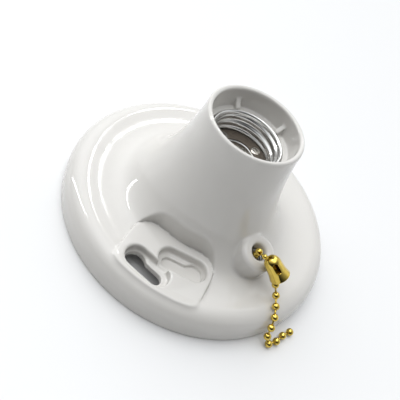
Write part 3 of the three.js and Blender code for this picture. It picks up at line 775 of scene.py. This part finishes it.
def settle(field, points, passes):
    """Moves points onto the field's zero level."""
    for _ in range(passes):
        gradient = slope(field, points, 0.1)
        size = np.maximum((gradient**2).sum(1), 0.25)
        move = -(field(*points.T) / size)[:, None] * gradient
        points = points + np.clip(move, -0.3, 0.3)
    return points


def skin(field, box, step, margin, passes, reach):
    """The points, faces and normals of a field's surface, kept within a box."""
    low, high = box
    points, quads = surface(field, low - margin, high + margin, step)
    points = np.clip(settle(field, points, passes), low, high)
    normals = slope(field, points, reach)
    normals /= np.maximum(np.linalg.norm(normals, axis=1), 1e-9)[:, None]
    return points, quads.tolist(), normals


def moulded_body():
    box = np.array(BODY_LOW), np.array(BODY_HIGH)
    step = 0.6
    points, faces, normals = skin(moulding, box, step, margin=0.75, passes=3, reach=0.2)
    new_piece("moulded_body", points, faces, "moulding", "base", ["body_shell"], normals)


moulded_body()


# ---------- screw shell ----------
SHELL_LOW, SHELL_HIGH = (corner.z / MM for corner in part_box("screw_shell"))
THREAD_R = 13.35
THREAD_DEPTH = 0.55
THREAD_PITCH = 3.63
THREAD_START_Z = 47.2
SHELL_HOLE_R = 7.6
SHEET = 0.45


def screw_shell():
    """A rolled right-hand thread between a turned-over edge and a floor flange."""
    steps = 144
    low, high = SHELL_LOW + 1.0, SHELL_HIGH - 0.9
    heights = np.linspace(low, high, 70)

    def wall(z, turn, side):
        fade = min(1.0, (z - low) / 1.2, (high - z) / 0.9)
        phase = 2 * math.pi * (z - THREAD_START_Z) / THREAD_PITCH - turn
        return THREAD_R + THREAD_DEPTH * max(fade, 0) * math.cos(phase) + side * SHEET / 2

    def rings(turn):
        inner = [(wall(z, turn, -1), z) for z in heights]
        outer = [(wall(z, turn, 1), z) for z in reversed(heights)]
        return [
            (SHELL_HOLE_R, SHELL_LOW + SHEET), (11.2, SHELL_LOW + SHEET),
            (12.4, SHELL_LOW + SHEET + 0.1),
            *inner, (13.55, SHELL_HIGH - 0.5), (13.75, SHELL_HIGH - 0.15), (14.05, SHELL_HIGH),
            (14.32, SHELL_HIGH - 0.12), (14.42, SHELL_HIGH - 0.35), (14.3, SHELL_HIGH - 0.5),
            (14.05, SHELL_HIGH - 0.6), *outer, (12.9, SHELL_LOW + 0.25), (12.4, SHELL_LOW),
            (SHELL_HOLE_R, SHELL_LOW),
        ]

    points, faces, count = [], [], len(rings(0))
    for i in range(steps):
        turn = 2 * math.pi * i / steps
        points.extend((r * math.cos(turn), r * math.sin(turn), z) for r, z in rings(turn))
        for k in range(count):
            a, b = i * count + k, i * count + (k + 1) % count
            c, d = ((i + 1) % steps) * count + (k + 1) % count, ((i + 1) % steps) * count + k
            faces.append((a, d, c, b))
    new_piece("threaded_shell", points, faces, "aluminium", "base", ["screw_shell"])


screw_shell()


# ---------- metal and insulating parts, as distance fields and turned profiles ----------
SLOTS = {entry["node"]: entry["material_slot"] for entry in frame["record"]["subparts"]}
NEUTRAL_AZ = CHAIN_AZ + math.pi
AXLE_U, AXLE_Z = 25.3, 9.4
AXLE_HOLE = 1.3
LEVER_ARM = 8.0
LEVER_DROP = math.radians(22.5)
CHEEK_IN, CHEEK_OUT = 5.8, 6.6
FRAME_BACK, FRAME_FRONT = 16.6, 29.6
FRAME_LOW, FRAME_HIGH = 2.4, 20.4
FRAME_SHEET = 0.8
COVER_SCREW_U, COVER_SCREW_V = 25.5, 8.8
BLADE_RISE = 4.4
PLATE_Z = (5.9, 6.6)
WASHER_IN, WASHER_OUT = 7.9, 12.75
WASHER_Z = (39.02, 39.4)


def node_box(node):
    return [np.array(corner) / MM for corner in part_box(node)]


def field_piece(name, field, box, step, slot, angle, body, nodes):
    """A piece with the surface of a field, which is given in axes turned about Z."""
    def in_row(x, y, z):
        return field(*turned_frame(x, y, angle), z)

    points, faces, normals = skin(in_row, box, step, margin=1.5 * step, passes=2, reach=0.5 * step)
    new_piece(name, points, faces, slot, body, nodes, normals)


def carve(node, field, step, angle=CHAIN_AZ, body="base"):
    """Replaces a node by the surface of a field."""
    field_piece(f"{node}_surface", field, node_box(node), step, SLOTS[node], angle, body, [node])


def both(*fields, edge=0.3):
    """Where all of the fields are solid, with rounded edges."""
    result = fields[0]
    for field in fields[1:]:
        result = smooth_max(result, field, edge)
    return result


def brick(u, v, z, us, vs, zs, edge=0.3):
    return both(between(u, *us), between(v, *vs), between(z, *zs), edge=edge)


def strip(u, z, line, thickness):
    """A bent strip of sheet seen from its edge."""
    sides = [to_segment(u, z, a, b) for a, b in zip(line, line[1:])]
    return np.minimum.reduce(sides) - thickness / 2


def switch_frame(u, v, z):
    """A bent frame: a wall, two cheeks with a cut corner, a top flange and two cover tabs."""
    wall_front = FRAME_BACK + FRAME_SHEET
    corner = ((u - FRAME_FRONT) * 5.8 + (z - 9.2) * 5.6) / 8.06
    side = both(between(u, FRAME_BACK, FRAME_FRONT), between(z, FRAME_LOW, 15), corner, edge=1.2)
    cheeks = both(side, between(np.abs(v), CHEEK_IN, CHEEK_OUT))
    wide = (-CHEEK_OUT, CHEEK_OUT)
    wall = brick(u, v, z, (FRAME_BACK, wall_front), wide, (FRAME_LOW, FRAME_HIGH))
    flange = brick(u, v, z, (3.5, wall_front), wide, (FRAME_HIGH - FRAME_SHEET, FRAME_HIGH))
    tabs = brick(u, np.abs(v), z, (22.6, 28.4), (CHEEK_IN, 11), (FRAME_LOW, FRAME_LOW + FRAME_SHEET))
    solid = smooth_min(smooth_min(cheeks, wall, 0.4), smooth_min(flange, tabs, 0.4), 0.4)
    holes = [
        np.hypot(u - AXLE_U, z - AXLE_Z) - AXLE_HOLE,
        brick(u, v, z, (16, 18), (2.1, 5.5), (4.2, 14.8)),
        np.maximum(np.hypot(v + 2, z - 10) - 1.3, np.abs(u - 17) - 1),
        np.maximum(np.hypot(np.abs(u - 9) - 3, v) - 1.4, np.abs(z - 20) - 1),
        np.maximum(np.hypot(u - COVER_SCREW_U, np.abs(v) - COVER_SCREW_V) - 1.1, z - 4),
    ]
    for hole in holes:
        solid = smooth_max(solid, -hole, 0.2)
    return solid


def contact_block(u, v, z):
    """A moulded block with a groove for each blade, an ejector mark and a rivet hole."""
    solid = brick(u, v, z, (9.6, 16.3), (-5, 5.4), (3.4, 15.6), 0.9)
    for low in (4.4, 13.3):
        solid = smooth_max(solid, -brick(u, v, z, (9, 17), (2.2, 6), (low, low + 1.2)), 0.3)
    ejector = np.hypot(u - 13, z - 10) - 1.4
    solid = smooth_max(solid, -np.maximum(ejector, v + 4.7), 0.2)
    return smooth_max(solid, 1.3 - np.hypot(v + 2, z - 10), 0.2)


def ratchet_rotor(u, v, z):
    """Eight ratchet teeth beside a drum with four lobes."""
    radius = np.hypot(u - AXLE_U, z - AXLE_Z)
    turn = np.arctan2(z - AXLE_Z, u - AXLE_U)
    share = np.mod(turn / (math.pi / 4), 1)
    drop, heel = 0.9, 0.775
    falling = 4.2 - drop * share / heel
    rising = 3.3 + drop * (share - heel) / (1 - heel)
    tooth = np.where(share < heel, falling, rising)
    ratchet = both((radius - tooth) * 0.8, between(v, 1.4, 2.4), edge=0.15)
    drum = both(radius - 3.35 - 0.35 * np.cos(4 * turn), between(v, 2.3, 5.4), edge=0.5)
    return smooth_max(smooth_min(ratchet, drum, 0.3), AXLE_HOLE - radius, 0.2)


def in_lever(u, z):
    """Axes along the lever at rest, from the axle."""
    return turned_frame(u - AXLE_U, z - AXLE_Z, -LEVER_DROP)


def pull_lever(u, v, z):
    """A hub on the axle, an arm and a forked end."""
    a, b = in_lever(u, z)
    hub = both(np.hypot(a, b) - 3.2, np.abs(v) - 1)
    arm = brick(a, v, b, (0, LEVER_ARM), (-1, 1), (-0.9, 0.2))
    fork = both(np.hypot(a - LEVER_ARM, b) - 1.7, np.abs(v) - 2.6, edge=0.5)
    solid = smooth_min(smooth_min(hub, arm, 0.6), fork, 0.4)
    solid = smooth_max(solid, AXLE_HOLE - np.hypot(a, b), 0.2)
    gap = brick(a, v, b, (LEVER_ARM - 1.1, LEVER_ARM + 3), (-0.9, 0.9), (-3, 3))
    return smooth_max(solid, -gap, 0.2)


def drive_pawl(u, v, z):
    a, b = in_lever(u, z)
    return np.minimum(
        brick(a, v, b, (4.55, 5.6), (1.25, 1.75), (-1, 0.2), 0.15),
        brick(a, v, b, (4.55, 5.0), (1.7, 2.4), (-1, 0.2), 0.15),
    )


def terminal_plate(u, v, z, tail):
    """A plate for two screws, with a tail."""
    face = brick(u, v, z, (TERMINAL_U - 5, TERMINAL_U + 5), (-9.4, 9.4), PLATE_Z)
    holes = np.hypot(u - TERMINAL_U, np.abs(v) - TERMINAL_V) - TERMINAL_HOLE
    return smooth_max(smooth_min(face, tail, 0.4), -holes, 0.2)


def hot_plate(u, v, z):
    return terminal_plate(u, v, z, brick(u, v, z, (23, 29), (-3, 3), PLATE_Z))


def neutral_plate(u, v, z):
    line = [
        (8.6, 32.2), (14, 32.2), (15.6, 30.8), (17.2, 26), (20.5, 19.5), (25, 11.5), (27, 6.9), (29, 6.3),
    ]
    tail = both(strip(u, z, line, 0.6), np.abs(v) - 3.5)
    hole = np.maximum(np.hypot(u - 9.8, v) - 1.5, np.abs(z - 32.5) - 1.5)
    return smooth_max(terminal_plate(u, v, z, tail), -hole, 0.2)


def blade(rise, ends):
    """The field of a contact blade: its line, as (place, lift), at a height over the axle."""
    def field(u, v, z):
        line = [(at, AXLE_Z + rise + lift) for at, lift in ends]
        return both(strip(u, z, line, 0.4), between(v, 2.6, 5.0), edge=0.2)
    return field


def detent_leaf(u, v, z):
    line = [(17.9, 8.8), (17.9, 5.6), (18.6, 4.8), (22, 4.5), (27, 4.6)]
    return both(strip(u, z, line, 0.35), between(v, 1.3, 2.2), edge=0.15)


def centre_contact(u, v, z):
    line = [(7.3, 38.5), (5, 39.1), (2, 40.6), (0, 41.5), (-2, 41.8), (-4, 41.3)]
    return both(strip(v, z, line, 0.4), np.abs(u) - 2.5, v - 7.4, edge=0.2)


def contact_base(u, v, z):
    solid = brick(u, v, z, (-2.5, 2.5), (7.7, 11.6), (38.3, 38.7), 0.2)
    return smooth_max(solid, RIVET_HOLE - np.hypot(u, v - FLOOR_RIVETS[0][1]), 0.1)


def shell_floor(u, v, z):
    """The floor disc below the shell's flange."""
    solid = both(np.hypot(u, v) - 14.3, between(z, 36.8, 38), edge=0.4)
    for at_u, at_v in FLOOR_RIVETS:
        solid = smooth_max(solid, RIVET_HOLE - np.hypot(u - at_u, v - at_v), 0.2)
    return solid


def fibre_washer(u, v, z):
    """A washer round the rivet heads, over the shell's flange and the centre contact's foot."""
    radius = np.hypot(u, v)
    return both(WASHER_IN - radius, radius - WASHER_OUT, between(z, *WASHER_Z), edge=0.15)


def back_cover(u, v, z):
    outline = smooth_max(between(u, 15.5, 38.5), np.abs(v) - 11.5, 2.5)
    holes = np.hypot(u - COVER_SCREW_U, np.abs(v) - COVER_SCREW_V) - 1.1
    return smooth_max(both(outline, between(z, 1.2, 2.1)), -holes, 0.2)


FINE, COARSE = 0.15, 0.28
carve("switch_frame", switch_frame, COARSE)
carve("contact_block", contact_block, 0.2)
carve("ratchet_rotor", ratchet_rotor, FINE, body="rotor")
carve("pull_lever", pull_lever, FINE, body="lever")
carve("drive_pawl", drive_pawl, 0.1, body="lever")
carve("hot_plate", hot_plate, 0.22, TERMINAL_AZ)
carve("neutral_plate", neutral_plate, 0.25, NEUTRAL_AZ)
carve("line_blade", blade(BLADE_RISE, [(7, 0.1), (20, 0.1), (23.5, -0.1), (25.5, 0.3)]), FINE)
carve("load_blade", blade(-BLADE_RISE, [(7, 0), (20, 0), (25, 0.1), (27.5, -0.2)]), FINE)
carve("detent_leaf", detent_leaf, 0.12)
carve("centre_contact", centre_contact, FINE, body="contact")
carve("contact_base", contact_base, 0.12)
carve("shell_floor", shell_floor, 0.25)
washer_box = [np.array((side, side, z)) for side, z in zip((-WASHER_OUT, WASHER_OUT), WASHER_Z)]
field_piece("fibre_washer", fibre_washer, washer_box, FINE, "fibre", CHAIN_AZ, "base", [])
carve("back_cover", back_cover, COARSE)


def slotted_screw(node, angle, head_r, head_h, shank_r, slot, pitch):
    """A pan head at the bottom with a slot (half width, depth), and a threaded shank above it."""
    low, high = node_box(node)
    centre = (low + high) / 2
    about = turned_frame(centre[0], centre[1], angle)

    def field(u, v, z):
        du, dv = u - about[0], v - about[1]
        radius = np.hypot(du, dv)
        rise = z - low[2]
        head = both(radius - head_r, between(rise, 0, head_h), edge=0.9)
        head = smooth_max(head, np.hypot(radius, rise - 3.2 * head_r) - 3.2 * head_r, 0.3)
        head = smooth_max(head, -np.maximum(np.abs(dv) - slot[0], rise - slot[1]), 0.15)
        wave = 0.09 * np.cos(2 * math.pi * rise / pitch - np.arctan2(dv, du))
        shank = both(radius - shank_r + 0.1 - wave, z - high[2] + 0.1, head_h - 0.3 - rise, edge=0.4)
        return smooth_min(head, shank, 0.2)

    carve(node, field, 0.16 if head_r < 3 else 0.2, angle)


TERMINAL_SCREW = dict(head_r=3.45, head_h=2.7, shank_r=1.6, slot=(0.55, 1.3), pitch=0.8)
FRAME_SCREW = dict(head_r=1.95, head_h=1.0, shank_r=0.84, slot=(0.3, 0.5), pitch=0.6)
COVER_SCREW = dict(head_r=1.85, head_h=0.8, shank_r=0.8, slot=(0.3, 0.4), pitch=0.6)
for number in (1, 2):
    slotted_screw(f"hot_screw_{number}", TERMINAL_AZ, **TERMINAL_SCREW)
    slotted_screw(f"neutral_screw_{number}", NEUTRAL_AZ, **TERMINAL_SCREW)
    slotted_screw(f"frame_screw_{number}", CHAIN_AZ, **FRAME_SCREW)
    slotted_screw(f"cover_screw_{number}", CHAIN_AZ, **COVER_SCREW)


def turned_piece(node, profile, at, along=(0, 0, 1), body="base"):
    """A turned piece: the profile's corners are broken by a small bevel."""
    shape = placed(turned(profile, 64), at, along)
    piece = new_piece(f"{node}_surface", *shape, SLOTS[node], body, [node])
    bevel = piece.modifiers.new("edges", "BEVEL")
    bevel.width = 0.08 * MM
    bevel.segments = 2
    bevel.limit_method = "ANGLE"
    bevel.angle_limit = math.radians(35)


def in_switch(u, v, z):
    """A place given along and across the chain's direction, in the row frame."""
    return (*turned_frame(u, v, -CHAIN_AZ), z)


def rivet(node):
    """A rivet standing along Z: a set head below and a formed head above."""
    low, high = node_box(node)
    a, b = low[2], high[2]
    profile = [
        (0, a), (1.2, a), (1.6, a + 0.1), (1.9, a + 0.4), (2.0, a + 0.8), (1.2, a + 0.8),
        (1.2, b - 0.6), (2.1, b - 0.6), (2.05, b - 0.3), (1.7, b - 0.08), (1.0, b), (0, b - 0.05),
    ]
    turned_piece(node, profile, ((low[0] + high[0]) / 2, (low[1] + high[1]) / 2, 0))


for node in ("shell_rivet_1", "shell_rivet_2", "contact_rivet"):
    rivet(node)
ALONG_U = in_switch(1, 0, 0)
ALONG_V = in_switch(0, 1, 0)
turned_piece("block_rivet", [
    (0, -9.2), (1.5, -9.2), (1.8, -9.1), (2, -8.8), (2, -8.4), (1, -8.4), (1, -0.3), (2, -0.3),
    (1.95, 0.1), (1.6, 0.3), (0, 0.3),
], in_switch(18, -2, 10), ALONG_U)
turned_piece("axle_pin", [
    (0, -7.7), (1.4, -7.7), (1.6, -7.55), (1.7, -7.3), (1.7, -6.9), (1, -6.9), (1, 6.9), (2, 6.9),
    (2, 7.3), (1.85, 7.55), (1.5, 7.7), (0, 7.7),
], in_switch(AXLE_U, 0, AXLE_Z), ALONG_V)
turned_piece("axle_bush", [
    (AXLE_HOLE, -5.5), (2.3, -5.5), (2.3, -1.3), (AXLE_HOLE, -1.3), (AXLE_HOLE, -5.5),
], in_switch(AXLE_U, 0, AXLE_Z), ALONG_V)
SEAT_LOW, SEAT_HIGH = (corner[2] for corner in node_box("spring_seat"))
turned_piece("spring_seat", [
    (0.8, SEAT_LOW), (3.6, SEAT_LOW), (3.6, SEAT_HIGH), (0.8, SEAT_HIGH), (0.8, SEAT_LOW),
], (OUTLET_X, OUTLET_Y, 0), body="pull")


# ---------- spring and leads ----------
def swept(route, radius, sides):
    """A round tube along a route, with domed ends."""
    route = np.array(route, float)
    ahead = np.gradient(route, axis=0)
    ahead /= np.linalg.norm(ahead, axis=1)[:, None]
    dome = [(-0.5 * radius, 0.6), (-0.2 * radius, 0.92)]
    rows = [(route[0] + shift * ahead[0], ahead[0], radius * size) for shift, size in dome]
    rows += [(p, d, radius) for p, d in zip(route, ahead)]
    rows += [(route[-1] - shift * ahead[-1], ahead[-1], radius * size) for shift, size in reversed(dome)]
    side = Vector((0.3, 0.2, 0.93)).cross(Vector(rows[0][1])).normalized()
    points, faces = [], []
    for place, direction, size in rows:
        direction = Vector(direction)
        side = (side - side.dot(direction) * direction).normalized()
        up = direction.cross(side)
        for k in range(sides):
            turn = 2 * math.pi * k / sides
            spoke = side * math.cos(turn) + up * math.sin(turn)
            points.append(tuple(Vector(place) + size * spoke))
    for row in range(len(rows) - 1):
        for k in range(sides):
            a, b = row * sides + k, row * sides + (k + 1) % sides
            faces.append((a, b, b + sides, a + sides))
    faces.append(tuple(reversed(range(sides))))
    faces.append(tuple(range((len(rows) - 1) * sides, len(rows) * sides)))
    return points, faces


WIRE_R = 0.35
COIL_R = 2.95
COIL_TURNS = 4.5
SLEEVE_R = 0.88


def return_spring():
    """Four and a half turns of wire."""
    low, high = (corner[2] for corner in node_box("return_spring"))
    steps = 260
    route = []
    for i in range(steps + 1):
        share = i / steps
        angle = 2 * math.pi * COIL_TURNS * share + CHAIN_AZ
        height = low + WIRE_R + (high - low - 2 * WIRE_R) * share
        route.append((OUTLET_X + COIL_R * math.cos(angle), OUTLET_Y + COIL_R * math.sin(angle), height))
    shape = swept(route, WIRE_R, 16)
    spring = new_piece("return_spring_wire", *shape, SLOTS["return_spring"], "base", ["return_spring"])
    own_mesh(spring)


def lead(node, places):
    """A sleeved wire through some places in the switch."""
    route = smooth_route([in_switch(*place) for place in places], 10)
    new_piece(f"{node}_sleeve", *swept(route, SLEEVE_R, 24), SLOTS[node], "base", [node])


return_spring()
lead("load_lead", [
    (5.6, 3.8, 5.0), (3, 6, 5.8), (0.6, 9.5, 11), (0, 11.2, 18), (0, 10.6, 26), (0, 10, 31.3),
])
LINE_TURN = TERMINAL_AZ - CHAIN_AZ
lead("line_lead", [
    (5.6, 3.8, 13.9), (3.5, 6.5, 13.6), (4.5, 10, 11.5),
    *((r * math.cos(LINE_TURN), r * math.sin(LINE_TURN), z) for r, z in ((15, 8.6), (21.4, 6.6))),
])


# ---------- CAD nodes that stay ----------
def dress_nodes():
    """Gives each CAD node that still shows the material of its record slot."""
    for name, node in frame["nodes"].items():
        node.data.materials.clear()
        node.data.materials.append(MATERIALS[SLOTS[name]])


dress_nodes()


# ---------- floor and light ----------
FLOOR_HALF = 3.0
FLOOR_GAP = 0.0001


def make_floor():
    """A plain pale floor just under the rim."""
    z = CAD_BOX[0].z - FLOOR_GAP
    signs = ((-1, -1), (1, -1), (1, 1), (-1, 1))
    mesh = bpy.data.meshes.new("floor")
    mesh.from_pydata([(a * FLOOR_HALF, b * FLOOR_HALF, z) for a, b in signs], [], [(0, 1, 2, 3)])
    f = Finish("pale_floor", (0.78, 0.78, 0.78), 0.0, 0.5)
    f.paint(f.noise(4, 2), 0.004)
    f.shader.inputs["Roughness"].default_value = f.roughness
    mesh.materials.append(f.material)
    floor = bpy.data.objects.new("floor", mesh)
    bpy.context.scene.collection.objects.link(floor)


def strip_light(name, place, size, power, target=(0, 0, 0.02)):
    """A strip that shows only in glossy reflections."""
    data = bpy.data.lights.new(name, "AREA")
    data.shape = "RECTANGLE"
    data.size, data.size_y = size
    data.energy = power
    light = bpy.data.objects.new(name, data)
    light.location = place
    light.rotation_mode = "QUATERNION"
    light.rotation_quaternion = (Vector(target) - Vector(place)).to_track_quat("-Z", "Y")
    light.visible_diffuse = False
    bpy.context.scene.collection.objects.link(light)


def on_dome(azimuth, elevation, distance=1.2):
    """A place on a dome round the object, angles in degrees."""
    a, e = math.radians(azimuth), math.radians(elevation)
    return (
        distance * math.cos(e) * math.cos(a), distance * math.cos(e) * math.sin(a),
        distance * math.sin(e),
    )


SKY_BASE = 0.02
SKY_LOBES = [  # azimuth, elevation, sharpness, strength
    (120, 50, 5, 1.85), (180, 50, 5, 1.4), (240, 85, 12, 2.4), (135, 15, 6, 1.0), (45, 15, 6, 1.0),
    (0, 15, 6, 0.4),
]


def make_world():
    """A soft surround of a few broad lobes, over a dim base."""
    world = bpy.data.worlds.new("surround")
    bpy.context.scene.world = world
    world.use_nodes = True
    tree = world.node_tree
    place = tree.nodes.new("ShaderNodeTexCoord").outputs["Generated"]

    def math_node(operation, first, second):
        node = tree.nodes.new("ShaderNodeMath")
        node.operation = operation
        for socket, value in zip(node.inputs, (first, second)):
            if isinstance(value, (int, float)):
                socket.default_value = value
            else:
                tree.links.new(value, socket)
        return node.outputs["Value"]

    total = SKY_BASE
    for azimuth, elevation, sharpness, strength in SKY_LOBES:
        dot = tree.nodes.new("ShaderNodeVectorMath")
        dot.operation = "DOT_PRODUCT"
        dot.inputs[1].default_value = on_dome(azimuth, elevation, 1.0)
        tree.links.new(place, dot.inputs[0])
        lobe = math_node("POWER", math_node("MAXIMUM", dot.outputs["Value"], 0.0), sharpness)
        total = math_node("ADD", math_node("MULTIPLY", lobe, strength), total)
    tree.links.new(total, tree.nodes["Background"].inputs["Strength"])
    tree.nodes["Background"].inputs["Color"].default_value = (0.97, 0.985, 1.0, 1)


make_floor()
make_world()
strip_light("left_strip", on_dome(174, 34), (0.05, 1.0), 3.6)
strip_light("rear_strip", on_dome(97, 43.5), (0.06, 0.07), 0.6)
bpy.context.scene.view_settings.view_transform = "Standard"
